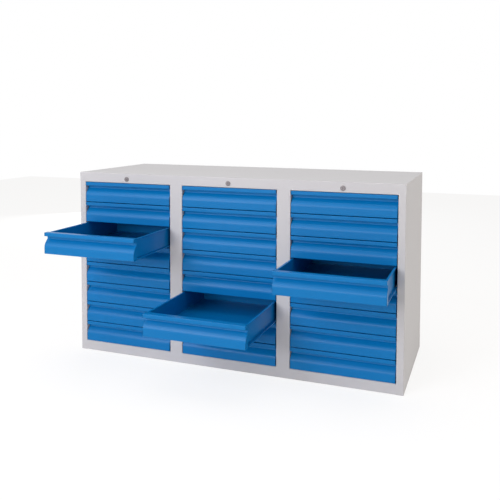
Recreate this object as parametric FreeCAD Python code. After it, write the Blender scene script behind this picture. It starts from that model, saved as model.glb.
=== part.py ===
import FreeCAD, Part
import math
import os

# A steel cabinet of three bays with eight drawers in each, for small parts and tools.
# The origin is at the middle of the footprint, on the floor. +X runs to the right,
# +Z up, and the drawers pull out towards -Y. Lengths are in millimetres.

# Carcass
WIDTH = 1500.0              # across the outer faces of the sides
DEPTH = 600.0               # front of the posts to the back flanges
HEIGHT = 840.0              # floor to worktop
CARCASS_SHEET = 1.2
BEND = 1.5                  # inside radius of a press-brake bend in the carcass
SIDE_POST = 30.0            # width of a post's face at either end of the cabinet
MIDDLE_POST = 60.0          # width of a post's face between two bays
POST_RETURN = 40.0          # how far a post is turned back into the cabinet
TOP_RAIL = 44.0             # height of the worktop's turned-down front
TOP_RETURN = 18.0           # that front is turned back by this much
TOP_LIP = 6.0               # and up again
REAR_FLANGE = 20.0          # worktop's turned-down back edge
BASE_RAIL = 44.0            # height of the plinth
BASE_RETURN = 30.0          # foot flange under the plinth
STIFFENER = 60.0            # width of the channels under the base deck
STIFFENER_GAP = 0.5
BACK_SHEET = 1.0
REAR_POST = 40.0            # depth of the upright that carries the rails' rear ends
REAR_POST_SETBACK = 45.0    # from the back of the cabinet to that upright

# Drawers
BAY_NAMES = ("left", "middle", "right")
ROWS = 8
FRONT_GAP = 3.0             # between two fronts, one above the other
FRONT_SIDE_GAP = 2.0        # between a front and the post beside it
FRONT_PROUD = 2.0           # a closed front stands this far out of the posts
FRONT_SHEET = 1.0
FRONT_BEND = 1.0
FRONT_THICKNESS = 25.0      # depth of the folded front
FRONT_FLANGE = 16.0         # the edges of the front that lie on the tray
LIP = 16.0                  # height of the band above the grip
GRIP_DEPTH = 20.0
GRIP_FOOT_DEPTH = 21.5      # deepest point of the grip
GRIP_FOOT_DROP = 28.0       # its distance below the front's top edge
RIDGE_DROP = 51.0           # where the slope under the grip reaches the face
GRIP_RADIUS = 6.0
RIDGE_RADIUS = 15.0
TRAY_SHEET = 0.8
TRAY_INSET = 10.0           # tray's wall to the end of its front
TRAY_REAR_SPACE = 44.8      # behind a closed tray, for the lock bar and its guides
TRAY_FLOOR_RISE = 7.0       # tray's floor above the bottom edge of its front
TRAY_TOP_DROP = 2.0         # tray's rim below the top edge of its front
TRAY_RIM = 8.0              # width of the rim turned outwards

# Rails and the runners that slide in them
RUNNER = 3.0                # thickness of the flat bar under the tray
RUNNER_INSIDE = 25.0        # how far it reaches in under the tray
RAIL_SHEET = 1.3
RAIL_PLAY = 0.3             # between runner and rail, above and below
RAIL_SIDE_PLAY = 0.8        # between runner and rail, sideways
RAIL_LIP_GAP = 1.5          # between a rail's lips and the tray
RAIL_FOOT_GAP = 1.0         # between a rail's web and the lower limit of its row
RAIL_FRONT_GAP = 1.0        # between a closed front and the rails behind it
RAIL_REAR_SETBACK = 50.0    # from the back of the cabinet to a rail

# The drawers that stand open, as bay and row from the top, and by how much
LEFT_PULLED = 305.0
MIDDLE_PULLED = 352.0
RIGHT_PULLED = 243.0
OPEN = {("left", 3): LEFT_PULLED, ("middle", 6): MIDDLE_PULLED, ("right", 4): RIGHT_PULLED}

# Locks: a key turns the plug and its rod, and a crank pin lifts the bar behind the drawers
LOCK_DROP = 26.0            # lock's axis below the worktop
LOCK_PLAY = 0.3             # round the turning plug and rod
ROSETTE_RADIUS = 11.0
ROSETTE_HEIGHT = 2.5
BARREL_RADIUS = 9.0
BARREL_LENGTH = 20.0
BARREL_PLAY = 0.2           # between barrel and the hole in the worktop's front
NUT_ACROSS_CORNERS = 24.0
NUT_HEIGHT = 5.0
PLUG_RADIUS = 7.0
PLUG_PROUD = 0.6            # plug's face out of the rosette
PLUG_LENGTH = 26.0
KEYWAY_WIDTH = 1.8
KEYWAY_HEIGHT = 8.5
KEYWAY_DEPTH = 9.0
ROD_RADIUS = 4.0
CRANK_RADIUS = 9.5
CRANK_THICKNESS = 4.0
CRANK_GAP = 2.0             # between crank and bar
PIN_RADIUS = 2.0
PIN_REACH = 4.0             # pin's end behind the bar
PIN_SLOT_PLAY = 0.5
LOCK_TURN = 90.0            # degrees from open to locked
BAR_LIFT = 8.0
BAR_WIDTH = 25.0
BAR_THICKNESS = 2.0
BAR_GAP = 12.0              # between closed trays and the bar
BAR_TOP_MARGIN = 10.0       # bar above the middle of its pin slot
BAR_FOOT_MARGIN = 15.0      # bar below its lowest hook
HOOK_WIDTH = 8.0
HOOK_HEIGHT = 4.0
HOOK_TIP = 5.0              # height of the upturned tip
HOOK_TIP_THICKNESS = 4.0
HOOK_FREE_PLAY = 2.0        # between tip and the tray's rear wall
CATCH_WIDTH = 14.0          # slot in the tray's rear wall
CATCH_TOP_DROP = 14.5       # slot's top below the tray's rim
CATCH_MARGIN = 1.0          # slot beyond the hook, above and below
GUIDE_HEIGHT = 12.0
GUIDE_WALL = 1.2
GUIDE_PLAY = 0.3
GUIDE_STEM = 12.0
GUIDE_DROP = 60.0           # guide below the rim of the tray in front of it
GUIDE_ROWS = (1, ROWS)      # rows behind which the guides stand
HANGER_WIDTH = 30.0         # plate that carries the rear end of the rod
HANGER_THICKNESS = 2.0
HANGER_FOOT = 10.0          # plate below the rod's axis
HANGER_SETBACK = 19.0       # plate in front of the crank

# Places that follow from the sizes above
BAYS = len(BAY_NAMES)
FRONT = -DEPTH / 2
BACK = DEPTH / 2
SIDE = WIDTH / 2
OPENING = (WIDTH - 2 * SIDE_POST - (BAYS - 1) * MIDDLE_POST) / BAYS
BAY_STEP = OPENING + MIDDLE_POST
OPENING_TOP = HEIGHT - TOP_RAIL
PITCH = (OPENING_TOP - BASE_RAIL) / ROWS
FRONT_FACE = FRONT - FRONT_PROUD
FRONT_HEIGHT = PITCH - FRONT_GAP
FRONT_WIDTH = OPENING - 2 * FRONT_SIDE_GAP
TRAY_WIDTH = FRONT_WIDTH - 2 * TRAY_INSET
TRAY_FRONT = FRONT_FACE + FRONT_THICKNESS
TRAY_HEIGHT = FRONT_HEIGHT - TRAY_FLOOR_RISE - TRAY_TOP_DROP
SLIDE_SPACE = (OPENING - TRAY_WIDTH) / 2
RAIL_FRONT = TRAY_FRONT + RAIL_FRONT_GAP
RAIL_BACK = BACK - RAIL_REAR_SETBACK
LOCK_Z = HEIGHT - LOCK_DROP
BACK_PANEL_REAR = BACK - CARCASS_SHEET
BACK_PANEL_FRONT = BACK_PANEL_REAR - BACK_SHEET
TRAY_BACK = BACK_PANEL_FRONT - TRAY_REAR_SPACE
BAR_FRONT = TRAY_BACK + BAR_GAP
BAR_BACK = BAR_FRONT + BAR_THICKNESS
PIN_OFFSET = BAR_LIFT / (2 * math.sin(math.radians(LOCK_TURN / 2)))
CRANK_BACK = BAR_FRONT - CRANK_GAP
CRANK_FRONT = CRANK_BACK - CRANK_THICKNESS
CLEAR_OF_BEND = BACK_PANEL_REAR - BEND
HOOK_FOOT = TRAY_HEIGHT - CATCH_TOP_DROP - CATCH_MARGIN - BAR_LIFT - HOOK_HEIGHT

ALONG_Y = FreeCAD.Vector(0, 1, 0)


def box(x, y, z):
    """A block between two limits along each axis."""
    corner = FreeCAD.Vector(x[0], y[0], z[0])
    return Part.makeBox(x[1] - x[0], y[1] - y[0], z[1] - z[0], corner)


def rod(radius, x, y, z):
    """A round bar along Y, between two limits."""
    return Part.makeCylinder(radius, y[1] - y[0], FreeCAD.Vector(x, y[0], z), ALONG_Y)


def joined(pieces):
    """Several touching pieces as one solid with clean faces."""
    return pieces[0].fuse(pieces[1:]).removeSplitter()


def heading(start, end):
    length = math.dist(start, end)
    return (end[0] - start[0]) / length, (end[1] - start[1]) / length


def left_turn(points, corner):
    """Whether a path turns to its left at a corner."""
    before = heading(points[corner - 1], points[corner])
    after = heading(points[corner], points[corner + 1])
    return before[0] * after[1] - before[1] * after[0] > 0


def inner_skin(points, thickness):
    """The corners of a path moved to its left by a sheet's thickness."""
    moved = []
    for i, (a, b) in enumerate(points):
        before = heading(*points[max(i - 1, 0):][:2])
        after = heading(*points[min(i, len(points) - 2):][:2])
        share = thickness / (1 + before[0] * after[0] + before[1] * after[1])
        moved.append((a - (before[1] + after[1]) * share, b + (before[0] + after[0]) * share))
    return moved


def rounded_path(points, radii, place):
    """Straight edges along a path, with an arc at each inner corner."""
    edges = []
    start = points[0]
    for corner in range(1, len(points) - 1):
        back = heading(points[corner], points[corner - 1])
        on = heading(points[corner], points[corner + 1])
        half = math.acos(back[0] * on[0] + back[1] * on[1]) / 2
        leg = radii[corner] / math.tan(half)
        a, b = points[corner]
        arc_start = (a + back[0] * leg, b + back[1] * leg)
        arc_end = (a + on[0] * leg, b + on[1] * leg)
        bisector = heading((0, 0), (back[0] + on[0], back[1] + on[1]))
        reach = radii[corner] / math.sin(half) - radii[corner]
        middle = (a + bisector[0] * reach, b + bisector[1] * reach)
        edges.append(Part.makeLine(place(start), place(arc_start)))
        edges.append(Part.Arc(place(arc_start), place(middle), place(arc_end)).toShape())
        start = arc_end
    edges.append(Part.makeLine(place(start), place(points[-1])))
    return edges


def folded_sheet(points, bends, thickness, place, length):
    """A strip of sheet bent along a path, whose outer skin is the path.

    The sheet lies to the left of the path. bends holds one inside radius, or a radius
    for each corner. place puts a point of the path in space, and length is the vector
    along which the section runs.
    """
    if not isinstance(bends, dict):
        bends = {corner: bends for corner in range(1, len(points) - 1)}
    skin, core = {}, {}
    for corner, radius in bends.items():
        outside = left_turn(points, corner)
        skin[corner] = radius + thickness if outside else radius
        core[corner] = radius if outside else radius + thickness
    inner = inner_skin(points, thickness)
    edges = rounded_path(points, skin, place)
    edges.append(Part.makeLine(place(points[-1]), place(inner[-1])))
    edges.extend(reversed(rounded_path(inner, core, place)))
    edges.append(Part.makeLine(place(inner[0]), place(points[0])))
    section = Part.Face(Part.Wire(Part.__sortEdges__(edges)))
    return section.extrude(length)


def bay_centre(bay):
    return (bay - (BAYS - 1) / 2) * BAY_STEP


def row_foot(row):
    """Height of the lower limit of a row, counted from the top."""
    return OPENING_TOP - row * PITCH


def tray_floor(row):
    return row_foot(row) + FRONT_GAP / 2 + TRAY_FLOOR_RISE


def worktop():
    """Flat top whose front edge is turned down, back and up, and holds the locks."""
    fold = FRONT + TOP_RETURN
    section = [
        (fold, OPENING_TOP + TOP_LIP), (fold, OPENING_TOP), (FRONT, OPENING_TOP),
        (FRONT, HEIGHT), (BACK, HEIGHT), (BACK, HEIGHT - REAR_FLANGE),
    ]
    sheet = folded_sheet(
        section[::-1], BEND, CARCASS_SHEET,
        lambda p: FreeCAD.Vector(-SIDE, p[0], p[1]), FreeCAD.Vector(WIDTH, 0, 0),
    )
    under = HEIGHT - CARCASS_SHEET
    for end in (-1, 1):
        wall = sorted((end * (SIDE - CARCASS_SHEET), end * (SIDE + 1)))
        flange = sorted((end * (SIDE - SIDE_POST), end * (SIDE + 1)))
        sheet = sheet.cut(box(wall, (FRONT + CARCASS_SHEET, BACK + 1), (0, under)))
        sheet = sheet.cut(box(flange, (BACK - CARCASS_SHEET - BEND, BACK + 1), (0, under)))
    for bay in range(BAYS):
        hole = rod(BARREL_RADIUS + BARREL_PLAY, bay_centre(bay),
                   (FRONT - 1, FRONT + CARCASS_SHEET + 1), LOCK_Z)
        sheet = sheet.cut(hole)
    return sheet


def side_panel(end):
    """Side wall, folded in front to the outer post and behind to the back flange."""
    outside = end * SIDE
    edge = end * (SIDE - SIDE_POST)
    section = [
        (edge, FRONT + POST_RETURN), (edge, FRONT), (outside, FRONT),
        (outside, BACK), (edge, BACK),
    ]
    if end < 0:
        section.reverse()
    wall = folded_sheet(
        section, BEND, CARCASS_SHEET,
        lambda p: FreeCAD.Vector(p[0], p[1], 0), FreeCAD.Vector(0, 0, HEIGHT - CARCASS_SHEET),
    )
    behind_rail = sorted((end * (SIDE - SIDE_POST - 1), end * (SIDE - CARCASS_SHEET)))
    above = (OPENING_TOP, HEIGHT)
    wall = wall.cut(box(behind_rail, (FRONT - 1, FRONT + POST_RETURN + 1), above))
    wall = wall.cut(box(sorted((0, end * (SIDE + 1))), (FRONT - 1, FRONT + CARCASS_SHEET), above))
    return joined([wall, rear_post(edge, end * (SIDE - CARCASS_SHEET))])


def rear_post(edge, wall):
    """Upright angle that holds the rails' rear ends, from an opening's edge to a wall."""
    inward = CARCASS_SHEET if wall > edge else -CARCASS_SHEET
    back = BACK - REAR_POST_SETBACK
    height = (BASE_RAIL, OPENING_TOP)
    flange = box(sorted((edge, edge + inward)), (back - REAR_POST, back), height)
    bridge = box(sorted((edge, wall)), (back - CARCASS_SHEET, back), height)
    return joined([flange, bridge])


def partition(x):
    """Wall between two bays, with a wide post in front and rail uprights behind."""
    left, right = x - MIDDLE_POST / 2, x + MIDDLE_POST / 2
    deep = FRONT + POST_RETURN
    post = folded_sheet(
        [(left, deep), (left, FRONT), (right, FRONT), (right, deep)], BEND, CARCASS_SHEET,
        lambda p: FreeCAD.Vector(p[0], p[1], BASE_RAIL),
        FreeCAD.Vector(0, 0, OPENING_TOP - BASE_RAIL),
    )
    wall = (x - CARCASS_SHEET / 2, x + CARCASS_SHEET / 2)
    inside = FRONT + CARCASS_SHEET
    web = box(wall, (inside, CLEAR_OF_BEND), (BASE_RAIL, OPENING_TOP))
    head = box(wall, (deep, CLEAR_OF_BEND), (OPENING_TOP, HEIGHT - CARCASS_SHEET))
    return joined([post, web, head, rear_post(left, x), rear_post(right, x)])


def uprights():
    walls = [side_panel(-1), side_panel(1)]
    walls += [partition(bay_centre(bay) + BAY_STEP / 2) for bay in range(BAYS - 1)]
    return Part.makeCompound(walls)


def base_frame():
    """Deck with a plinth in front and behind, and the channels that stiffen it."""
    inside = BASE_RETURN
    section = [
        (FRONT + inside, 0), (FRONT, 0), (FRONT, BASE_RAIL),
        (BACK, BASE_RAIL), (BACK, 0), (BACK - inside, 0),
    ]
    half = SIDE - SIDE_POST
    deck = folded_sheet(
        section[::-1], BEND, CARCASS_SHEET,
        lambda p: FreeCAD.Vector(-half, p[0], p[1]), FreeCAD.Vector(2 * half, 0, 0),
    )
    deck_level = (BASE_RAIL - CARCASS_SHEET, BASE_RAIL)
    ears = []
    for end in (-1, 1):
        span = sorted((end * half, end * (SIDE - CARCASS_SHEET)))
        ears.append(box(span, (FRONT + POST_RETURN, CLEAR_OF_BEND), deck_level))
    pieces = [joined([deck] + ears)]
    run = DEPTH - 2 * (inside + STIFFENER_GAP)
    top = BASE_RAIL - CARCASS_SHEET
    for step in range(-1, BAYS - 1):
        x = (step - (BAYS - 3) / 2) * BAY_STEP / 2
        left, right = x - STIFFENER / 2, x + STIFFENER / 2
        channel = folded_sheet(
            [(left, top), (left, 0), (right, 0), (right, top)], BEND, CARCASS_SHEET,
            lambda p: FreeCAD.Vector(p[0], -run / 2, p[1]), FreeCAD.Vector(0, run, 0),
        )
        pieces.append(channel)
    return Part.makeCompound(pieces)


def bar_guide(x, z):
    """Flat loop on a stem that keeps a lock bar upright in front of the back panel."""
    wide = BAR_WIDTH / 2 + GUIDE_PLAY
    near, far = BAR_FRONT - GUIDE_PLAY, BAR_BACK + GUIDE_PLAY
    height = (z - GUIDE_HEIGHT / 2, z + GUIDE_HEIGHT / 2)
    wall = GUIDE_WALL
    loop = box((x - wide - wall, x + wide + wall), (near - wall, far + wall), height)
    loop = loop.cut(box((x - wide, x + wide), (near, far), (height[0] - 1, height[1] + 1)))
    stem = box((x - GUIDE_STEM / 2, x + GUIDE_STEM / 2), (far + wall, BACK_PANEL_FRONT), height)
    return joined([loop, stem])


def back_panel():
    """Sheet inside the back flanges, with the guides of the lock bars on it."""
    half = SIDE - CARCASS_SHEET - BEND
    sheet = box((-half, half), (BACK_PANEL_FRONT, BACK_PANEL_REAR),
                (BASE_RAIL, HEIGHT - CARCASS_SHEET - BEND))
    pieces = [sheet]
    for bay in range(BAYS):
        for row in GUIDE_ROWS:
            level = tray_floor(row) + TRAY_HEIGHT - GUIDE_DROP
            pieces.append(bar_guide(bay_centre(bay), level))
    return Part.makeCompound(pieces)


def rail(bay, side, row):
    """Fixed channel with a web below it, fastened to the front and rear posts."""
    floor = tray_floor(row)
    outside = SLIDE_SPACE
    web = outside - RAIL_SHEET
    roof = RAIL_PLAY
    seat = -RUNNER - RAIL_PLAY
    foot = row_foot(row) + RAIL_FOOT_GAP - floor
    section = [
        (outside, foot), (outside, roof + RAIL_SHEET), (RAIL_LIP_GAP, roof + RAIL_SHEET),
        (RAIL_LIP_GAP, roof), (web, roof), (web, seat), (RAIL_LIP_GAP, seat),
        (RAIL_LIP_GAP, seat - RAIL_SHEET), (web, seat - RAIL_SHEET), (web, foot),
    ]
    wall = bay_centre(bay) + side * TRAY_WIDTH / 2
    corners = [FreeCAD.Vector(wall + side * out, RAIL_FRONT, floor + up) for out, up in section]
    face = Part.Face(Part.makePolygon(corners + corners[:1]))
    return face.extrude(FreeCAD.Vector(0, RAIL_BACK - RAIL_FRONT, 0))


def drawer_front(bay, row):
    """One sheet folded to a band, a finger grip, a sloping ridge and a flat face."""
    top = FRONT_HEIGHT
    flange = FRONT_FLANGE
    rear = FRONT_THICKNESS
    section = [
        (rear, top - flange), (rear, top), (0, top), (0, top - LIP), (GRIP_DEPTH, top - LIP),
        (GRIP_FOOT_DEPTH, top - GRIP_FOOT_DROP), (0, top - RIDGE_DROP), (0, 0),
        (rear, 0), (rear, flange),
    ]
    bends = {corner: FRONT_BEND for corner in range(1, len(section) - 1)}
    bends[section.index((GRIP_FOOT_DEPTH, top - GRIP_FOOT_DROP))] = GRIP_RADIUS
    bends[section.index((0, top - RIDGE_DROP))] = RIDGE_RADIUS
    left = bay_centre(bay) - FRONT_WIDTH / 2
    foot = row_foot(row) + FRONT_GAP / 2
    return folded_sheet(
        section, bends, FRONT_SHEET,
        lambda p: FreeCAD.Vector(left, FRONT_FACE + p[0], foot + p[1]),
        FreeCAD.Vector(FRONT_WIDTH, 0, 0),
    )


def drawer_tray(bay, row):
    """Open tray with a rim turned outwards, a catch slot behind and a runner each side."""
    x = bay_centre(bay)
    half = TRAY_WIDTH / 2
    floor = tray_floor(row)
    rim = floor + TRAY_HEIGHT
    sheet = TRAY_SHEET
    shell = box((x - half, x + half), (TRAY_FRONT, TRAY_BACK), (floor, rim))
    hollow = box((x - half + sheet, x + half - sheet),
                 (TRAY_FRONT + sheet, TRAY_BACK - sheet), (floor + sheet, rim + 1))
    catch = box((x - CATCH_WIDTH / 2, x + CATCH_WIDTH / 2), (TRAY_BACK - sheet - 1, TRAY_BACK + 1),
                (floor + HOOK_FOOT - CATCH_MARGIN, rim - CATCH_TOP_DROP))
    pieces = [shell.cut(hollow).cut(catch)]
    for side in (-1, 1):
        span = sorted((x + side * half, x + side * (half + TRAY_RIM)))
        pieces.append(box(span, (TRAY_FRONT, TRAY_BACK), (rim - sheet, rim)))
    solids = [joined(pieces)]
    for side in (-1, 1):
        reach = half + SLIDE_SPACE - RAIL_SHEET - RAIL_SIDE_PLAY
        span = sorted((x + side * (half - RUNNER_INSIDE), x + side * reach))
        solids.append(box(span, (TRAY_FRONT, RAIL_BACK), (floor - RUNNER, floor)))
    return Part.makeCompound(solids)


def lock_hardware():
    """Threaded barrels with their rosettes and nuts, and the hangers of the rods."""
    pieces = []
    inside = FRONT + CARCASS_SHEET
    hanger_back = CRANK_FRONT - HANGER_SETBACK
    for bay in range(BAYS):
        x = bay_centre(bay)
        rosette = rod(ROSETTE_RADIUS, x, (FRONT - ROSETTE_HEIGHT, FRONT), LOCK_Z)
        front_rim = [e for e in rosette.Edges if abs(e.BoundBox.YMax - FRONT + ROSETTE_HEIGHT) < 0.01]
        rosette = rosette.makeChamfer(ROSETTE_HEIGHT / 3, front_rim)
        barrel = rod(BARREL_RADIUS, x, (FRONT, FRONT + BARREL_LENGTH), LOCK_Z)
        bore = rod(PLUG_RADIUS + LOCK_PLAY, x, (FRONT - DEPTH, FRONT + DEPTH / 2), LOCK_Z)
        pieces.append(joined([rosette, barrel]).cut(bore))
        corner = [NUT_ACROSS_CORNERS / 2 * f(math.radians(60 * i))
                  for i in range(6) for f in (math.cos, math.sin)]
        ring = [FreeCAD.Vector(x + corner[2 * i], inside, LOCK_Z + corner[2 * i + 1]) for i in range(6)]
        nut = Part.Face(Part.makePolygon(ring + ring[:1])).extrude(ALONG_Y * NUT_HEIGHT)
        thread = rod(BARREL_RADIUS, x, (inside - 1, inside + NUT_HEIGHT + 1), LOCK_Z)
        pieces.append(nut.cut(thread))
        plate = box((x - HANGER_WIDTH / 2, x + HANGER_WIDTH / 2),
                    (hanger_back - HANGER_THICKNESS, hanger_back),
                    (LOCK_Z - HANGER_FOOT, HEIGHT - CARCASS_SHEET))
        eye = rod(ROD_RADIUS + LOCK_PLAY, x, (hanger_back - 2 * HANGER_THICKNESS, hanger_back + 1), LOCK_Z)
        pieces.append(plate.cut(eye))
    return Part.makeCompound(pieces)


def lock_plug(bay):
    """Plug with a keyway, its long rod, and the crank with its pin behind."""
    x = bay_centre(bay)
    face = FRONT - ROSETTE_HEIGHT - PLUG_PROUD
    plug = rod(PLUG_RADIUS, x, (face, face + PLUG_LENGTH), LOCK_Z)
    keyway = box((x - KEYWAY_WIDTH / 2, x + KEYWAY_WIDTH / 2), (face - 1, face + KEYWAY_DEPTH),
                 (LOCK_Z - KEYWAY_HEIGHT / 2, LOCK_Z + KEYWAY_HEIGHT / 2))
    shaft = rod(ROD_RADIUS, x, (face + PLUG_LENGTH, CRANK_FRONT), LOCK_Z)
    crank = rod(CRANK_RADIUS, x, (CRANK_FRONT, CRANK_BACK), LOCK_Z)
    low = -math.radians(LOCK_TURN / 2)
    pin = rod(PIN_RADIUS, x - PIN_OFFSET * math.cos(low), (CRANK_BACK, BAR_BACK + PIN_REACH),
              LOCK_Z + PIN_OFFSET * math.sin(low))
    return joined([plug.cut(keyway), shaft, crank, pin])


def lock_bar(bay):
    """Flat bar with a pin slot at its head and an upturned hook behind each drawer."""
    x = bay_centre(bay)
    slot_z = LOCK_Z - PIN_OFFSET * math.sin(math.radians(LOCK_TURN / 2))
    foot = tray_floor(ROWS) + HOOK_FOOT - BAR_FOOT_MARGIN
    bar = box((x - BAR_WIDTH / 2, x + BAR_WIDTH / 2), (BAR_FRONT, BAR_BACK),
              (foot, slot_z + BAR_TOP_MARGIN))
    near = PIN_OFFSET * math.cos(math.radians(LOCK_TURN / 2)) - PIN_RADIUS - PIN_SLOT_PLAY
    far = PIN_OFFSET + PIN_RADIUS + PIN_SLOT_PLAY
    tall = PIN_RADIUS + PIN_SLOT_PLAY
    bar = bar.cut(box((x - far, x - near), (BAR_FRONT - 1, BAR_BACK + 1), (slot_z - tall, slot_z + tall)))
    pieces = [bar]
    tip_back = TRAY_BACK - TRAY_SHEET - HOOK_FREE_PLAY
    tip_front = tip_back - HOOK_TIP_THICKNESS
    width = (x - HOOK_WIDTH / 2, x + HOOK_WIDTH / 2)
    for row in range(1, ROWS + 1):
        low = tray_floor(row) + HOOK_FOOT
        pieces.append(box(width, (tip_front, BAR_FRONT), (low, low + HOOK_HEIGHT)))
        pieces.append(box(width, (tip_front, tip_back), (low, low + HOOK_HEIGHT + HOOK_TIP)))
    return joined(pieces)


def build():
    nodes = {
        "worktop": worktop(),
        "uprights": uprights(),
        "base_frame": base_frame(),
        "back_panel": back_panel(),
        "drawer_rails": Part.makeCompound([
            rail(bay, side, row)
            for bay in range(BAYS) for side in (-1, 1) for row in range(1, ROWS + 1)
        ]),
        "lock_hardware": lock_hardware(),
    }
    for bay, name in enumerate(BAY_NAMES):
        nodes[f"lock_plug_{name}"] = lock_plug(bay)
        nodes[f"lock_bar_{name}"] = lock_bar(bay)
        for row in range(1, ROWS + 1):
            pulled = FreeCAD.Vector(0, -OPEN.get((name, row), 0.0), 0)
            nodes[f"drawer_front_{name}_{row}"] = drawer_front(bay, row).translated(pulled)
            nodes[f"drawer_tray_{name}_{row}"] = drawer_tray(bay, row).translated(pulled)
    return nodes


os.makedirs("parts", exist_ok=True)
for node, shape in build().items():
    shape.exportStep(f"parts/{node}.step")
    print(node, "solids", len(shape.Solids), "volume", round(shape.Volume), "valid", shape.isValid())
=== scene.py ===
# %% [markdown]
# # A steel drawer cabinet with three bays
#
# A workshop or laboratory cabinet is nearly all sheet steel: flat blanks are cut, folded on
# a press brake, spot welded and powder coated. This notebook dresses the measured CAD frame
# of such a cabinet. Each step first says what the piece is on the real object, then how it
# could be made in Blender, and why one way was chosen.

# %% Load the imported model
import math

import bmesh
import bpy
from mathutils import Matrix, Vector


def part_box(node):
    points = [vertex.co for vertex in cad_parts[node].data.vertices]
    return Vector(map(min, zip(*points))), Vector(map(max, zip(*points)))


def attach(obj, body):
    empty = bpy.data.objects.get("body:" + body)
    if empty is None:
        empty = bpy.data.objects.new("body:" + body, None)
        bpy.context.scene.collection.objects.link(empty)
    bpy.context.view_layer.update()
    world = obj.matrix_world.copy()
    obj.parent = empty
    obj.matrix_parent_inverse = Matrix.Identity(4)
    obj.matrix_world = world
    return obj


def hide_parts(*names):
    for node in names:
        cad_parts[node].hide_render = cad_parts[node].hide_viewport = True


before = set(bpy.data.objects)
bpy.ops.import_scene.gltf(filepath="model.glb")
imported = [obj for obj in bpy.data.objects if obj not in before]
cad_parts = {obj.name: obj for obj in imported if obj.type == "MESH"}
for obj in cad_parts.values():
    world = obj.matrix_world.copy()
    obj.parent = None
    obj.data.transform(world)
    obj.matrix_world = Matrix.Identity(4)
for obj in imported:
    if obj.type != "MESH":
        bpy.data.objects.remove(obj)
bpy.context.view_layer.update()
MM = 0.001

# %% [markdown]
# ## Measures
#
# The frame says where each piece is, so the sizes are read from it and not typed twice: a
# closed drawer front gives width, height and depth of all of them. What the frame's boxes
# can't give, such as the sheet's gauge and the radius of a fold, is a real shop size.

# %% Sizes of fronts and trays
BAYS = {"left": -0.5, "middle": 0.0, "right": 0.5}  # where each bay's middle stands
ROWS = range(1, 9)
front_low, front_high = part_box("drawer_front_left_1")
tray_low, tray_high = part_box("drawer_tray_left_1")
FRONT_WIDTH = front_high.x - front_low.x
FRONT_HEIGHT = front_high.z - front_low.z
FRONT_DEPTH = front_high.y - front_low.y
FRONT_SHEET = 1.0 * MM
TRAY_SHEET = 0.8 * MM
print("front", round(FRONT_WIDTH, 4), round(FRONT_HEIGHT, 4), round(FRONT_DEPTH, 4))

# %% [markdown]
# ## One helper for all node trees
#
# Every material and every Geometry Nodes tree below is built with the same small function:
# it adds a node, sets its properties, and fills or links its inputs. Colours are written as
# they are on a colour card, and turned to linear light in one place.

# %% Add a node, read a colour
def add_node(tree, kind, inputs=None, **settings):
    """Adds a node. An input gets a value, or a link when it is given another node's output."""
    node = tree.nodes.new(kind)
    for name, value in settings.items():
        setattr(node, name, value)
    for name, value in (inputs or {}).items():
        if isinstance(value, bpy.types.NodeSocket):
            tree.links.new(value, node.inputs[name])
        else:
            node.inputs[name].default_value = value
    return node


def linear(hex_colour):
    """An sRGB hex colour as linear RGBA."""
    parts = [int(hex_colour[i:i + 2], 16) / 255 for i in (1, 3, 5)]
    return [c / 12.92 if c <= 0.04045 else ((c + 0.055) / 1.055) ** 2.4 for c in parts] + [1.0]


# %% [markdown]
# ## Powder-coated steel
#
# Powder is sprayed dry, then baked until it flows. The film is some 70 micrometres thick,
# with a satin gloss and a faint orange peel, whose waves are a few millimetres long. Under
# a lamp that gives broad soft highlights with a slightly uneven edge. The colour is even;
# only film thickness changes it by a percent or two over a hand's width. An image could
# show this too, but two noises in object space keep their real size on every piece.

# %% Powder coat
FILM_PATCH = 120 * MM
FILM_SPREAD = 0.03  # how far the roughness drifts with the film
PEEL_WAVE = 4 * MM  # the coarse end of real orange peel, so that a close view shows it
PEEL_DEPTH = 0.04 * MM
PEEL_STRENGTH = 0.25


def powder_coat(name, colour, thin_colour, roughness):
    """Satin powder coat. thin_colour is where the film is a little thinner."""
    material = bpy.data.materials.new(name)
    material.use_nodes = True
    tree = material.node_tree
    tree.nodes.clear()
    place = add_node(tree, "ShaderNodeTexCoord").outputs["Object"]
    film = add_node(tree, "ShaderNodeTexNoise",
                    {"Vector": place, "Scale": 1 / FILM_PATCH, "Detail": 2.0}).outputs["Fac"]
    mixed = add_node(tree, "ShaderNodeMix", {"Factor": film}, data_type="RGBA")
    mixed.inputs[6].default_value = linear(colour)
    mixed.inputs[7].default_value = linear(thin_colour)
    peel = add_node(tree, "ShaderNodeTexNoise",
                    {"Vector": place, "Scale": 1 / PEEL_WAVE, "Detail": 1.0})
    bump = add_node(tree, "ShaderNodeBump",
                    {"Height": peel.outputs["Fac"], "Strength": PEEL_STRENGTH,
                     "Distance": PEEL_DEPTH})
    gloss = add_node(tree, "ShaderNodeMapRange",
                     {"Value": film, "To Min": roughness - FILM_SPREAD,
                      "To Max": roughness + FILM_SPREAD})
    # a fine texture in the film scatters part of the gloss, so the specular level is low
    shader = add_node(tree, "ShaderNodeBsdfPrincipled",
                      {"Base Color": mixed.outputs[2], "Roughness": gloss.outputs["Result"],
                       "Normal": bump.outputs["Normal"], "IOR": 1.5, "Specular IOR Level": 0.2})
    add_node(tree, "ShaderNodeOutputMaterial", {"Surface": shader.outputs["BSDF"]})
    return material


BLUE_COAT = powder_coat("blue satin powder coat", "#0071B3", "#0374B6", 0.32)
GREY_COAT = powder_coat("light grey satin powder coat", "#C5C4C7", "#C8C7C9", 0.42)
print("coats:", BLUE_COAT.name, "and", GREY_COAT.name)

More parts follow.
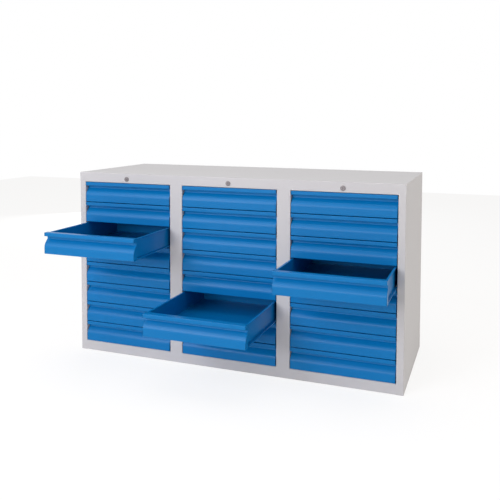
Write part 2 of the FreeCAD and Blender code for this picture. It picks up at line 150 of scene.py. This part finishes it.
# %% [markdown]
# ## Bare metals
#
# The rails and the lock bars are zinc plated: a bluish silver with fine lengthwise
# rolling marks. The locks are nickel-plated brass, worn to a darker and warmer grey. The
# blind rivets are tumbled aluminium, which is duller and stands out from the light coat.
# The three differ only in colour, gloss and grain, so one tree makes them all, with a noise
# that is drawn out lengthwise.

# %% Zinc, nickel and aluminium
MARK_LENGTH = 50  # how many times longer than wide a mark is, along Y
MARK_SPREAD = 0.08  # how far the roughness drifts with the marks


def plated(name, colour, dark_colour, roughness, grain):
    """Bare or plated metal. grain is the spacing of the rolling or turning marks."""
    material = bpy.data.materials.new(name)
    material.use_nodes = True
    tree = material.node_tree
    tree.nodes.clear()
    place = add_node(tree, "ShaderNodeTexCoord").outputs["Object"]
    along = add_node(tree, "ShaderNodeMapping",
                     {"Vector": place, "Scale": (1.0, 1 / MARK_LENGTH, 1.0)}).outputs["Vector"]
    marks = add_node(tree, "ShaderNodeTexNoise",
                     {"Vector": along, "Scale": 1 / grain, "Detail": 3.0}).outputs["Fac"]
    mixed = add_node(tree, "ShaderNodeMix", {"Factor": marks}, data_type="RGBA")
    mixed.inputs[6].default_value = linear(dark_colour)
    mixed.inputs[7].default_value = linear(colour)
    gloss = add_node(tree, "ShaderNodeMapRange",
                     {"Value": marks, "To Min": roughness - MARK_SPREAD,
                      "To Max": roughness + MARK_SPREAD})
    shader = add_node(tree, "ShaderNodeBsdfPrincipled",
                      {"Base Color": mixed.outputs[2], "Roughness": gloss.outputs["Result"],
                       "Metallic": 1.0})
    add_node(tree, "ShaderNodeOutputMaterial", {"Surface": shader.outputs["BSDF"]})
    return material


# real marks are some 0.1 mm apart, and drawn coarser so that a close view shows them
ZINC = plated("zinc-plated steel", "#C9CCCE", "#A9ADB1", 0.34, 0.8 * MM)
NICKEL = plated("worn nickel-plated brass", "#8F8A8C", "#6E696D", 0.34, 0.5 * MM)
TUMBLED = plated("tumbled aluminium", "#8E9194", "#6F7276", 0.5, 0.5 * MM)
print("metals:", ", ".join(metal.name for metal in (ZINC, NICKEL, TUMBLED)))

# %% [markdown]
# ## The press brake as a node tree
#
# A press brake folds a flat blank along straight lines. Each folded piece is one path of
# corners with a radius at each fold, pushed out sideways by its length. That rule is the
# same for a drawer front, a tray and a rail, so one Geometry Nodes tree serves them all,
# where modelling each by hand would repeat the work. The tree fillets the path and extrudes
# it; Solidify then gives the sheet its gauge and Bevel takes the burr off the cut edges.

# %% Fold and sweep tree
def socket(tree, name, kind, default=None, way="INPUT"):
    """Adds a named input or output to a tree, and returns its identifier."""
    made = tree.interface.new_socket(name, in_out=way, socket_type=kind)
    if default is not None:
        made.default_value = default
    return made.identifier


def press_brake_tree():
    """A path of corners becomes a folded skin."""
    tree = bpy.data.node_groups.new("press_brake", "GeometryNodeTree")
    socket(tree, "Blank's path", "NodeSocketGeometry")
    keys = {"sweep": socket(tree, "Sweep", "NodeSocketVector", (1, 0, 0)),
            "arc": socket(tree, "Steps per fold", "NodeSocketInt", 6)}
    socket(tree, "Finish", "NodeSocketMaterial")
    socket(tree, "Folded sheet", "NodeSocketGeometry", way="OUTPUT")
    given = add_node(tree, "NodeGroupInput").outputs
    path = add_node(tree, "GeometryNodeMeshToCurve", {"Mesh": given["Blank's path"]})
    radius = add_node(tree, "GeometryNodeInputNamedAttribute", {"Name": "fold"}, data_type="FLOAT")
    bends = add_node(tree, "GeometryNodeFilletCurve",
                     {"Curve": path.outputs["Curve"], "Count": given["Steps per fold"],
                      "Radius": radius.outputs["Attribute"]}, mode="POLY")
    line = add_node(tree, "GeometryNodeCurveToMesh", {"Curve": bends.outputs["Curve"]})
    sheet = add_node(tree, "GeometryNodeExtrudeMesh",
                     {"Mesh": line.outputs["Mesh"], "Offset": given["Sweep"],
                      "Offset Scale": 1.0}, mode="EDGES")
    real = add_node(tree, "GeometryNodeRealizeInstances", {"Geometry": sheet.outputs["Mesh"]})
    done = add_node(tree, "GeometryNodeSetMaterial",
                    {"Geometry": real.outputs["Geometry"], "Material": given["Finish"]})
    add_node(tree, "NodeGroupOutput", {"Folded sheet": done.outputs["Geometry"]})
    return tree, keys


PRESS_BRAKE, BRAKE_KEYS = press_brake_tree()
print("press brake", len(PRESS_BRAKE.nodes), "nodes")

# %% [markdown]
# ## From a bent skin to a sheet
#
# The tree gives only the outer skin of a sheet. A few helpers do the rest: settle a
# modifier's result into a plain mesh, give a skin its gauge, and unite the sheets of one
# welded piece. Weighted normals keep the flats flat beside their small folds, as on real
# sheet metal, where a wavy reflection would look like a dent.

# %% Plain meshes from modifiers
SMOOTH_ANGLE = math.radians(50)  # a fold's steps turn by less than this, a cut edge by more
BURR_ANGLE = math.radians(60)


def link(data, name):
    """An object of the given mesh, lamp or camera, in the scene."""
    made = bpy.data.objects.new(name, data)
    bpy.context.scene.collection.objects.link(made)
    return made


def settle(obj):
    """Applies an object's modifiers, and returns its plain mesh. The object goes away."""
    bpy.context.view_layer.update()
    graph = bpy.context.evaluated_depsgraph_get()
    mesh = bpy.data.meshes.new_from_object(obj.evaluated_get(graph), depsgraph=graph)
    bpy.data.objects.remove(obj)
    return mesh


def mesh_from(work, name):
    """The mesh of a finished bmesh, which is freed."""
    mesh = bpy.data.meshes.new(name)
    work.to_mesh(mesh)
    work.free()
    return mesh


def deburr(body, width):
    """Takes the burr off an object's sharp edges."""
    edge = body.modifiers.new("deburred edges", "BEVEL")
    edge.width = width
    edge.segments = 2
    edge.limit_method = "ANGLE"
    edge.angle_limit = BURR_ANGLE


def united(meshes, finish):
    """Several meshes as one, in one finish, with smooth folds and flat flats."""
    work = bmesh.new()
    for mesh in meshes:
        work.from_mesh(mesh)
    whole = mesh_from(work, "united")
    whole.materials.append(finish)
    whole.shade_smooth()
    whole.set_sharp_from_angle(angle=SMOOTH_ANGLE)
    obj = link(whole, "united")
    obj.modifiers.new("even flats", "WEIGHTED_NORMAL").keep_sharp = True
    return settle(obj)


# %% Bend a skin and give it its gauge
FOLD_STEPS = 6
BURR = 0.2 * MM


def bent(corners, radii, place, sweep, steps=FOLD_STEPS):
    """The outer skin of a folded sheet. place maps a corner of its path into the cabinet."""
    mesh = bpy.data.meshes.new("path")
    segments = [(i, i + 1) for i in range(len(corners) - 1)]
    mesh.from_pydata([place(c) for c in corners], segments, [])
    mesh.attributes.new("fold", "FLOAT", "POINT").data.foreach_set("value", radii)
    blank = link(mesh, "blank")
    brake = blank.modifiers.new("press brake", "NODES")
    brake.node_group = PRESS_BRAKE
    brake[BRAKE_KEYS["sweep"]] = sweep
    brake[BRAKE_KEYS["arc"]] = steps
    return settle(blank)


def folded(corners, radii, gauge, place, sweep, steps=FOLD_STEPS):
    """A sheet whose gauge lies to the left of its path, with its cut edges deburred."""
    sheet = bent(corners, radii, place, sweep, steps)
    # the face over the path's first segment tells on which side the skin's front is
    (x0, y0), (x1, y1) = corners[:2]
    x, y = (x0 + x1) / 2, (y0 + y1) / 2
    middle = Vector(place((x, y)))
    inward = Vector(place((x - (y1 - y0), y + (x1 - x0)))) - middle
    first = min(sheet.polygons, key=lambda p: (p.center - middle).cross(Vector(sweep)).length)
    if first.normal.dot(inward) > 0:
        sheet.flip_normals()
    body = link(sheet, "sheet")
    wall = body.modifiers.new("gauge", "SOLIDIFY")
    wall.thickness = gauge
    wall.offset = -1
    wall.use_even_offset = True
    deburr(body, BURR)
    return settle(body)


# %% [markdown]
# ## Drawer fronts
#
# The front is one strip of 1 mm sheet. From the top it is turned forwards as a lip, back to
# a finger grip over the whole width, out again over a sloping ridge and down to the bottom
# edge; flanges behind are welded to the tray. All 24 are alike, so the strip is folded once
# and its mesh is copied to each drawer. From the side the grip shows as a notch, and an end
# flap closes the hollow behind it.

# %% Fold one front
LIP = 16 * MM
GRIP_DEPTH = 20 * MM
GRIP_FOOT = (21.5 * MM, FRONT_HEIGHT - 28 * MM)
RIDGE = (0.0, FRONT_HEIGHT - 51 * MM)
FLANGE = 16 * MM
front_path = [
    (FRONT_DEPTH, FRONT_HEIGHT - FLANGE), (FRONT_DEPTH, FRONT_HEIGHT), (0, FRONT_HEIGHT),
    (0, FRONT_HEIGHT - LIP), (GRIP_DEPTH, FRONT_HEIGHT - LIP), GRIP_FOOT, RIDGE,
    (0, 0), (FRONT_DEPTH, 0), (FRONT_DEPTH, FLANGE),
]
OUTER, INNER = 2 * MM, 1 * MM  # the skin's radius outside a fold and inside one
GRIP_FOLD = 6 * MM
RIDGE_FOLD = 34 * MM  # rolled wide, so that the ridge carries a broad highlight
front_folds = [0, OUTER, OUTER, OUTER, INNER, GRIP_FOLD, RIDGE_FOLD, OUTER, OUTER, 0]


def on_front(p):
    """A point of the front's side view, at the front's left end."""
    return (front_low.x, front_low.y + p[0], front_low.z + p[1])


front_sheet = folded(front_path, front_folds, FRONT_SHEET, on_front, (FRONT_WIDTH, 0, 0))
print("front sheet", len(front_sheet.polygons), "faces")


# %% Close its ends
def end_flap(x):
    """A plate just inside an open end, its outline half a sheet within the front's skin."""
    skin = bent(front_path, front_folds, on_front, (FRONT_WIDTH, 0, 0))
    outline = [v.co for v in skin.vertices[:len(skin.vertices) // 2]]
    work = bmesh.new()
    face = work.faces.new([work.verts.new((x, co.y, co.z)) for co in outline])
    trimmed = bmesh.ops.inset_region(work, faces=[face], thickness=FRONT_SHEET / 2,
                                     use_even_offset=True)
    bmesh.ops.delete(work, geom=trimmed["faces"], context="FACES")
    body = link(mesh_from(work, "flap"), "flap")
    wall = body.modifiers.new("gauge", "SOLIDIFY")
    wall.thickness = FRONT_SHEET
    wall.offset = 0
    return settle(body)


flaps = [end_flap(front_low.x + FRONT_SHEET), end_flap(front_high.x - FRONT_SHEET)]
front_mesh = united([front_sheet, *flaps], BLUE_COAT)
print("drawer front", len(front_mesh.polygons), "faces")


# %% Put a front on each drawer
def copied(mesh, shift, name):
    """A copy of a mesh, moved in its mesh, as an object at the origin."""
    twin = mesh.copy()
    twin.transform(Matrix.Translation(shift))
    return link(twin, name)


def on_each_drawer(mesh, kind, stands_for):
    """Copies a mesh of drawer left 1 to all drawers, where their node stands."""
    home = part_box(f"{stands_for}_left_1")[0]
    for bay in BAYS:
        for row in ROWS:
            node = f"{stands_for}_{bay}_{row}"
            made = copied(mesh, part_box(node)[0] - home, f"{kind}_{bay}_{row}")
            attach(made, f"drawer_{bay}_{row}")
            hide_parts(node)
    print(kind, "on", len(BAYS) * len(ROWS), "drawers")


on_each_drawer(front_mesh, "front", "drawer_front")

# %% [markdown]
# ## Small things that repeat
#
# Rivets, spot welds and rails come in dozens. One of each is made, and a second tree places
# it on a set of points; it ends in Realize Instances, so that the result is a plain mesh.
# Round parts are turned: a profile is spun about an axis, as on a lathe, and its normals are
# recalculated, because a spin can turn them inside out.

# %% Placing tree
def placing_tree():
    """A copy of one piece stands at each point."""
    tree = bpy.data.node_groups.new("placing", "GeometryNodeTree")
    socket(tree, "Places", "NodeSocketGeometry")
    keys = {"piece": socket(tree, "Piece", "NodeSocketObject"),
            "finish": socket(tree, "Finish", "NodeSocketMaterial")}
    socket(tree, "Placed pieces", "NodeSocketGeometry", way="OUTPUT")
    given = add_node(tree, "NodeGroupInput").outputs
    piece = add_node(tree, "GeometryNodeObjectInfo",
                     {"Object": given["Piece"], "As Instance": True})
    spread = add_node(tree, "GeometryNodeInstanceOnPoints",
                      {"Points": given["Places"], "Instance": piece.outputs["Geometry"]})
    real = add_node(tree, "GeometryNodeRealizeInstances",
                    {"Geometry": spread.outputs["Instances"]})
    done = add_node(tree, "GeometryNodeSetMaterial",
                    {"Geometry": real.outputs["Geometry"], "Material": given["Finish"]})
    add_node(tree, "NodeGroupOutput", {"Placed pieces": done.outputs["Geometry"]})
    return tree, keys


PLACING, PLACING_KEYS = placing_tree()
print("placing", len(PLACING.nodes), "nodes")


def placed(mesh, places, finish):
    """One plain mesh with a copy of the given mesh at each place."""
    dots = bpy.data.meshes.new("places")
    dots.from_pydata(places, [], [])
    host, piece = link(dots, "places"), link(mesh, "piece")
    spread = host.modifiers.new("placing", "NODES")
    spread.node_group = PLACING
    spread[PLACING_KEYS["piece"]] = piece
    spread[PLACING_KEYS["finish"]] = finish
    result = settle(host)
    bpy.data.objects.remove(piece)
    return result


# %% Lathe
POLE = 0.001 * MM  # corners on the axis that are closer than this are one


def turned(profile, steps, upright=False):
    """A part turned about Y from (radius, y) pairs in mm, or about Z when upright."""
    work = bmesh.new()
    line = [work.verts.new((r * MM, y * MM, 0)) for r, y in profile]
    edges = [work.edges.new(pair) for pair in zip(line, line[1:])]
    bmesh.ops.spin(work, geom=line + edges, axis=(0, 1, 0), angle=2 * math.pi, steps=steps,
                   use_merge=True)
    bmesh.ops.remove_doubles(work, verts=work.verts, dist=POLE)
    bmesh.ops.recalc_face_normals(work, faces=work.faces)
    if upright:
        work.transform(Matrix.Rotation(math.radians(90), 4, "X"))
    return mesh_from(work, "turned")


# a spot weld leaves a shallow dish with a raised ring, drawn a little deeper than real, and
# its underside is closed within the sheet
spot_weld = turned([(0, 0.04), (2.1, 0.04), (2.8, 0.2), (3.4, 0), (3.4, -0.2), (0, -0.2)], 16,
                   upright=True)
print("spot weld", len(spot_weld.polygons), "faces")

# %% [markdown]
# ## Drawer trays
#
# Each tray is three sheets of 0.8 mm: a trough with its rims turned outwards, and two end
# walls with a flange on the floor and a hem on top, spot welded in. The same press brake
# folds them. The rear wall has a slot, in which a hook of the lock bar catches; a Boolean
# punches it, since a punch on flat sheet is just that. A flat runner is welded under each
# side.

# %% Fold one tray
TRAY_INSET = 10 * MM  # how much narrower than the front the trough is, on each side
RIM = 8 * MM
HEM = 9 * MM
FOOT = 14 * MM
RUNNER = 3 * MM
tray_x = (tray_low.x + tray_high.x) / 2
half = FRONT_WIDTH / 2 - TRAY_INSET
rim, floor_z = tray_high.z, tray_low.z + RUNNER
shoulder, bed = rim - TRAY_SHEET, floor_z + TRAY_SHEET
fore, aft = tray_low.y, tray_high.y
trough = folded(
    [(-half - RIM, shoulder), (-half, shoulder), (-half, floor_z),
     (half, floor_z), (half, shoulder), (half + RIM, shoulder)],
    [0, INNER, OUTER, OUTER, INNER, 0], TRAY_SHEET,
    lambda p: (tray_x + p[0], fore, p[1]), (0, aft - fore, 0))


def end_wall(corners):
    """A wall across the trough, with a hem along its top and a flange on the floor."""
    inside = half - TRAY_SHEET
    return folded(corners, [0, OUTER, OUTER, 0], TRAY_SHEET,
                  lambda p: (tray_x - inside, p[0], p[1]), (2 * inside, 0, 0))


front_wall = end_wall([(fore + HEM, rim), (fore, rim), (fore, bed), (fore + FOOT, bed)])
rear_wall = end_wall([(aft - FOOT, bed), (aft, bed), (aft, rim), (aft - HEM, rim)])
print("trough", round(2 * half, 4), "wide,", round(aft - fore, 4), "deep")


# %% Cut the catch slot
def bar(low, high, burr):
    """A flat bar between two corners, its edges taken off."""
    work = bmesh.new()
    bmesh.ops.create_cube(work, size=1)
    for vert in work.verts:
        vert.co = [(low[i], high[i])[vert.co[i] > 0] for i in range(3)]
    bmesh.ops.recalc_face_normals(work, faces=work.faces)
    if burr:
        bmesh.ops.bevel(work, geom=work.edges[:], offset=burr, segments=2, affect="EDGES")
    return mesh_from(work, "bar")


CATCH = 7 * MM  # half the slot's width and height
CATCH_DROP = 14.5 * MM  # from the rim down to the slot
INSIDE, OUTSIDE = 3 * MM, 1 * MM  # how far the punch reaches past the wall's face
catch_z = rim - CATCH_DROP - CATCH
punch = link(bar((tray_x - CATCH, aft - INSIDE, catch_z - CATCH),
                 (tray_x + CATCH, aft + OUTSIDE, catch_z + CATCH), 0), "punch")
punched = link(rear_wall, "rear wall")
slot_cut = punched.modifiers.new("catch slot", "BOOLEAN")
slot_cut.object = punch
rear_wall = settle(punched)
bpy.data.objects.remove(punch)
print("rear wall", len(rear_wall.polygons), "faces with its slot")

# %% Weld the tray together
RUNNER_LAP = 25 * MM  # how far a runner reaches under the trough
RUNNER_BURR = 0.3 * MM
weld_x = [tray_x + half * k / 4 for k in range(-3, 4)]
weld_y = [fore + (aft - fore) * k / 6 for k in range(1, 6)]
spots = [(x, y, bed + TRAY_SHEET) for x in weld_x for y in (fore + FOOT / 2, aft - FOOT / 2)]
spots += [(tray_x + side * (half - FOOT), y, bed) for side in (-1, 1) for y in weld_y]
rails_low, rails_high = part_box("drawer_rails")
runner_width = tray_high.x - tray_x - half + RUNNER_LAP
runners = [bar((x, fore, tray_low.z), (x + runner_width, rails_high.y, floor_z), RUNNER_BURR)
           for x in (tray_low.x, tray_high.x - runner_width)]
spot_welds = placed(spot_weld, spots, BLUE_COAT)
tray_mesh = united([trough, front_wall, rear_wall, *runners, spot_welds], BLUE_COAT)
print("drawer tray", len(tray_mesh.polygons), "faces,", len(spots), "spot welds")
on_each_drawer(tray_mesh, "tray", "drawer_tray")

# %% [markdown]
# ## Rails
#
# The runners slide in channels on the posts. One channel of each hand is folded, with a
# strip that lengthens its wall downwards, and the placing tree puts it beside every drawer,
# 48 in all. Three steps to a fold are enough where so little is seen.

# %% Rails
RAIL_SHEET = 1.3 * MM
RAIL_FOLD = 1.6 * MM
RAIL_STEPS = 3
MOUTH, RAIL_OUT = 1.5 * MM, 12 * MM  # the channel's mouth and back, from the trough's side
ROOF, SEAT, STRIP_END = 1.6 * MM, -4.6 * MM, -7.5 * MM  # heights, from the runner's top
rail_sweep = (0, rails_high.y - rails_low.y, 0)


def rail(side):
    """The rail of one hand, for a trough whose side is at x = 0."""
    def beside(p):
        return (side * p[0], rails_low.y, p[1])

    channel = folded([(MOUTH, SEAT), (RAIL_OUT, SEAT), (RAIL_OUT, ROOF), (MOUTH, ROOF)],
                     [0, RAIL_FOLD, RAIL_FOLD, 0], RAIL_SHEET, beside, rail_sweep, RAIL_STEPS)
    strip = folded([(RAIL_OUT, STRIP_END), (RAIL_OUT, SEAT)], [0, 0], RAIL_SHEET, beside,
                   rail_sweep)
    return united([channel, strip], ZINC)


heights = [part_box(f"drawer_tray_left_{row}")[0].z + RUNNER for row in ROWS]
rails = []
for side in (-1, 1):
    at = [(x + side * half, 0, z) for x in BAYS.values() for z in heights]
    rails.append(placed(rail(side), at, ZINC))
rail_set = link(united(rails, ZINC), "rails")
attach(rail_set, "carcass")
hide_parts("drawer_rails")
print("rails", len(rail_set.data.polygons), "faces")

# %% [markdown]
# ## Carcass
#
# Worktop, side panels, partitions, deck and back panel are already folded sheets in the CAD
# frame, with their real bends, so there is nothing to gain from folding them again. A packed
# mesh is a set of loose triangles, so a copy of it is welded and shaded, and stands for its
# node.

# %% Welded copies of nodes
SAME_POINT = 0.01 * MM
FLAT = math.radians(1)  # faces that turn by less than this are one flat


def welded_copy(node, finish, name, body, burr=0.0):
    """A node's mesh with its corners joined and its flats whole, deburred if burr is given."""
    work = bmesh.new()
    work.from_mesh(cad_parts[node].data)
    bmesh.ops.remove_doubles(work, verts=work.verts, dist=SAME_POINT)
    bmesh.ops.dissolve_limit(work, angle_limit=FLAT, verts=work.verts, edges=work.edges)
    mesh = mesh_from(work, name)
    if burr:
        solid = link(mesh, "solid")
        deburr(solid, burr)
        mesh = settle(solid)
    made = link(united([mesh], finish), name)
    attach(made, body)
    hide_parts(node)
    print(name, len(made.data.polygons), "faces")


for node in ("worktop", "uprights", "base_frame", "back_panel"):
    welded_copy(node, GREY_COAT, f"{node}_sheet", "carcass")

# %% [markdown]
# ## Dressed welds
#
# The posts are butt welded to the worktop's rail and to the plinth, and the groove beside
# each fold is filled and ground flush, so the painted front frame shows no seam. Each filler
# is a wedge whose visible face lies in the frame's face. It has only six corners, so it is
# built from them directly.

# %% Fill the grooves of the front frame
FRONT_RAIL = 44 * MM  # height of the worktop's turned-down front
POST = 30 * MM  # width of a side's post, and half that of a partition's
BEND = 2.2 * MM  # outside radius of a fold in 1.2 mm sheet
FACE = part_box("base_frame")[0].y
RAIL_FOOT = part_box("worktop")[1].z - FRONT_RAIL
PLINTH_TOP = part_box("base_frame")[1].z
OUTER_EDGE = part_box("worktop")[1].x
INNER_EDGE = OUTER_EDGE - POST
PARTITION = BAYS["right"] / 2


def wedge(a, b, along):
    """A wedge from a groove's open edge a to its closed edge b, both in the face."""
    a, b, along = Vector(a), Vector(b), Vector(along)
    deep = b + Vector((0, (a - b).length, 0))
    work = bmesh.new()
    ends = [[work.verts.new(p + shift) for p in (a, b, deep)] for shift in (Vector(), along)]
    for ring in ends:
        work.faces.new(ring)
    for i in range(3):
        j = (i + 1) % 3
        work.faces.new((ends[0][i], ends[0][j], ends[1][j], ends[1][i]))
    bmesh.ops.recalc_face_normals(work, faces=work.faces)
    return mesh_from(work, "filler")


posts = [(-OUTER_EDGE, -INNER_EDGE), (-PARTITION - POST, -PARTITION + POST),
         (PARTITION - POST, PARTITION + POST), (INNER_EDGE, OUTER_EDGE)]
seams = [(post, RAIL_FOOT + BEND, RAIL_FOOT) for post in posts]
seams += [(post, PLINTH_TOP - BEND, PLINTH_TOP) for post in posts[1:3]]
fillers = []
for (left, right), open_z, closed_z in seams:
    fillers.append(wedge((left + BEND, FACE, open_z), (left + BEND, FACE, closed_z),
                         ((right - left) - 2 * BEND, 0, 0)))
for side in (-1, 1):
    fillers.append(wedge((side * (INNER_EDGE + BEND), FACE, BEND),
                         (side * INNER_EDGE, FACE, BEND), (0, 0, PLINTH_TOP - 2 * BEND)))
welds = link(united(fillers, GREY_COAT), "dressed_welds")
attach(welds, "carcass")
print("dressed welds", len(fillers))

# %% [markdown]
# ## Rivets behind
#
# The back panel lies inside the flanges of the sides and the worktop, and blind rivets hold
# it there. A blind rivet has a low dome with the hole of its pulled mandrel in the middle.
# It is round, so the lathe makes one and the placing tree sets the rest.

# %% Blind rivets
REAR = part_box("base_frame")[1].y
TOP_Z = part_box("worktop")[1].z
MARGIN = 13 * MM
LOWEST = 80 * MM
SIDE_STEP, TOP_STEP = 136 * MM, 200 * MM
rivet = turned([(0, 0.7), (0.9, 0.7), (1.0, 1.3), (2.2, 1.1), (3.2, 0.5), (3.5, 0),
                (3.5, -0.3), (0, -0.3)], 20)
at = [(side * (OUTER_EDGE - MARGIN), REAR, LOWEST + k * SIDE_STEP)
      for side in (-1, 1) for k in range(6)]
at += [(k * TOP_STEP, REAR, TOP_Z - MARGIN) for k in range(-3, 4)]
rivets = link(united([placed(rivet, at, TUMBLED)], TUMBLED), "rivets")
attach(rivets, "carcass")
print("rivets", len(at))

# %% [markdown]
# ## Locks
#
# A cam lock is a threaded barrel with a rosette in front, and a plug that turns in it.
# Barrel, plug, rod, crank, nut and lock bar come from the frame, with their edges deburred:
# the small bright rims are what tells a metal part at this size.

# %% Barrels, plugs and bars
welded_copy("lock_hardware", NICKEL, "lock_barrels", "carcass", BURR)
for bay in BAYS:
    plug, lock_bar = f"lock_plug_{bay}", f"lock_bar_{bay}"
    welded_copy(plug, NICKEL, f"plug_{bay}", plug, BURR)
    welded_copy(lock_bar, ZINC, f"bar_{bay}", lock_bar, BURR)

# %% [markdown]
# ## Floor, light and camera
#
# A product picture of white on white: the floor and the backdrop are seen as plain white,
# also in a reflection, so that metal and gloss show a bright studio. The light on the
# cabinet comes from a paler room and soft boxes around it, at a level where a colour renders
# about as it is written.

# %% Floor
def in_sight(tree):
    """1 for a ray of the eye and for one that gloss or glass sends on, otherwise 0."""
    path = add_node(tree, "ShaderNodeLightPath").outputs
    total = path["Is Camera Ray"]
    for kind in ("Is Glossy Ray", "Is Transmission Ray"):
        total = add_node(tree, "ShaderNodeMath", {0: total, 1: path[kind]},
                         operation="MAXIMUM").outputs[0]
    return total


REACH = 7.0  # half the floor's width
floor_mesh = bpy.data.meshes.new("floor")
edge_points = [(-REACH, -REACH, 0), (REACH, -REACH, 0), (REACH, REACH, 0), (-REACH, REACH, 0)]
floor_mesh.from_pydata(edge_points, [], [(0, 1, 2, 3)])
floor = link(floor_mesh, "floor")
floor.location.z = -0.5 * MM

# what the eye sees of the floor glows nearly white, and its diffuse part takes the shadow
white = bpy.data.materials.new("white studio floor")
white.use_nodes = True
tree = white.node_tree
tree.nodes.clear()
matt = add_node(tree, "ShaderNodeBsdfDiffuse", {"Color": linear("#F7F4F1")}).outputs["BSDF"]
thin = add_node(tree, "ShaderNodeBsdfDiffuse", {"Color": linear("#888888")}).outputs["BSDF"]
glow = add_node(tree, "ShaderNodeEmission", {"Strength": 0.8}).outputs["Emission"]
lit = add_node(tree, "ShaderNodeAddShader", {0: thin, 1: glow}).outputs["Shader"]
paint = add_node(tree, "ShaderNodeMixShader", {0: in_sight(tree), 1: matt, 2: lit})
add_node(tree, "ShaderNodeOutputMaterial", {"Surface": paint.outputs["Shader"]})
floor_mesh.materials.append(white)
print("floor", 2 * REACH, "wide")

# %% World
AMBIENT = 0.5
world = bpy.data.worlds.new("pale studio")
bpy.context.scene.world = world
world.use_nodes = True
tree = world.node_tree
tree.nodes.clear()
room = add_node(tree, "ShaderNodeBackground",
                {"Color": linear("#FFF9F2"), "Strength": AMBIENT}).outputs[0]
backdrop = add_node(tree, "ShaderNodeBackground",
                    {"Color": linear("#FFFFFF"), "Strength": 1.0}).outputs[0]
sky = add_node(tree, "ShaderNodeMixShader", {0: in_sight(tree), 1: room, 2: backdrop})
add_node(tree, "ShaderNodeOutputWorld", {"Surface": sky.outputs["Shader"]})
print("ambient light", AMBIENT)


# %% Soft boxes
def soft_box(name, place, target, size, power, colour):
    """A wide lamp that faces its target, with its size in metres and its power in watts."""
    data = bpy.data.lights.new(name, "AREA")
    data.shape = "RECTANGLE"
    data.size, data.size_y = size
    data.energy = power
    data.color = linear(colour)[:3]
    lamp = link(data, name)
    lamp.location = place
    facing = Vector(target) - Vector(place)
    lamp.rotation_euler = facing.to_track_quat("-Z", "Y").to_euler()


soft_box("key", (-3.21, -6.09, 3.97), (0, -0.3, 0.45), (3.2, 4.6), 208, "#E9EFFF")
soft_box("side fill", (3.8, 0.1, 1.2), (0, 0.1, 0.45), (2.0, 1.6), 16, "#FFF8EE")
soft_box("front fill", (-0.9, -5.7, 1.75), (0, -0.3, 0.5), (4.0, 0.9), 82, "#FFFAF4")
# the back fill stays below the worktop's level, or it would glare on the top
soft_box("back fill", (-2.6, 4.0, 0.45), (0, 0.3, 0.45), (2.0, 0.7), 64, "#FFFFFF")
soft_box("ceiling", (0, -0.6, 3.2), (0, -0.2, 0.8), (3.0, 2.0), 20, "#FFFFFF")
print("soft boxes", len(bpy.data.lights))

# %% Camera
LENS, SENSOR = 46.814, 36.0  # in mm
SHIFT = -0.20
STANDPOINT = (1.0634, -2.8693, 1.0958)
TURN, TIP, ROLL = (math.radians(angle) for angle in (20.549, 90 - 2.834, 0.148))
camera_data = bpy.data.cameras.new("camera")
camera_data.sensor_width = SENSOR
camera_data.lens = LENS
camera_data.shift_y = SHIFT
camera = link(camera_data, "camera")
turn, tip = Matrix.Rotation(TURN, 4, "Z"), Matrix.Rotation(TIP, 4, "X")
roll = Matrix.Rotation(ROLL, 4, "Z")
camera.matrix_world = Matrix.Translation(STANDPOINT) @ turn @ tip @ roll
bpy.context.scene.camera = camera
bpy.context.scene.view_settings.view_transform = "Standard"
print("camera at", STANDPOINT, "with a lens of", LENS, "mm")
